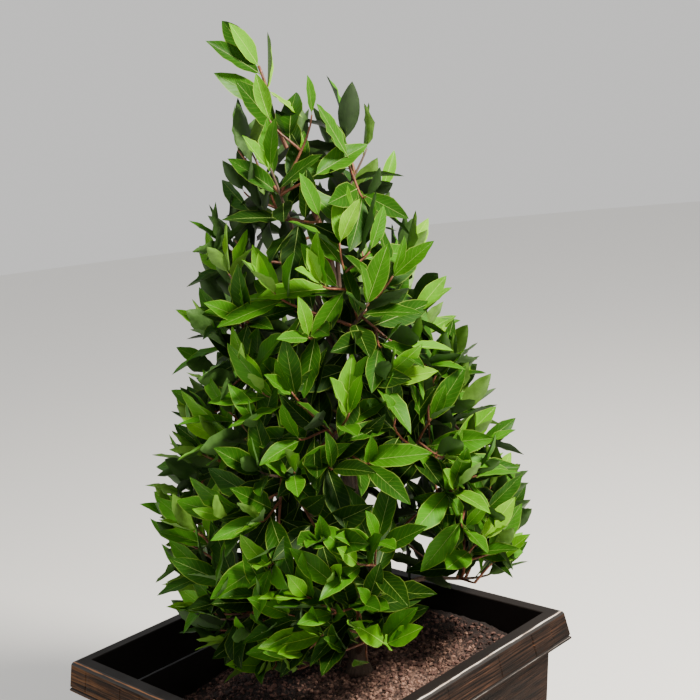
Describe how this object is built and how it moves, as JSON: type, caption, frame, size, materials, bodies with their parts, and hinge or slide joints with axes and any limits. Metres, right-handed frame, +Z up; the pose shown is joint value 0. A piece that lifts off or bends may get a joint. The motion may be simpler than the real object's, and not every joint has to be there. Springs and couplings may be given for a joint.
{
  "type": "potted bay pyramid topiary",
  "caption": "Bay laurel clipped to a leafy pyramid on a short trunk, with a leader shoot above it, planted in a square moulded planter of compost.",
  "frame": {"origin": "middle of the planter's flat underside, on the ground", "axes": "+Z up; +X to the right along the planter's front side; +Y towards its back"},
  "size_m": [0.5642, 0.561, 1.1795],
  "materials": {
    "planter": "matt charcoal moulding with embossed wood grain rubbed bronze",
    "compost": "rough crumbly dark red-brown",
    "bark": "dull grey-brown, fine upright cracks",
    "leaves": "glossy dark to mid green",
    "young_leaves": "satin yellow-green"
  },
  "bodies": {
    "root": {"planter": "planter", "compost": "compost", "trunk": "bark", "bough_low_1": "bark", "bough_low_2": "bark", "bough_low_3": "bark", "bough_low_4": "bark", "bough_low_5": "bark", "bough_middle_1": "bark", "bough_middle_2": "bark", "bough_middle_3": "bark", "bough_middle_4": "bark", "bough_upper_1": "bark", "bough_upper_2": "bark", "bough_upper_3": "bark", "bough_top_1": "bark", "bough_top_2": "bark", "bough_top_3": "bark", "foliage_low_1": "leaves", "foliage_low_2": "leaves", "foliage_low_3": "leaves", "foliage_low_4": "leaves", "foliage_low_5": "leaves", "foliage_middle_1": "leaves", "foliage_middle_2": "leaves", "foliage_middle_3": "leaves", "foliage_middle_4": "leaves", "foliage_upper_1": "leaves", "foliage_upper_2": "leaves", "foliage_upper_3": "leaves", "foliage_top_1": "leaves", "foliage_top_2": "leaves", "foliage_top_3": "leaves", "foliage_leader": "young_leaves"}
  },
  "joints": []
}
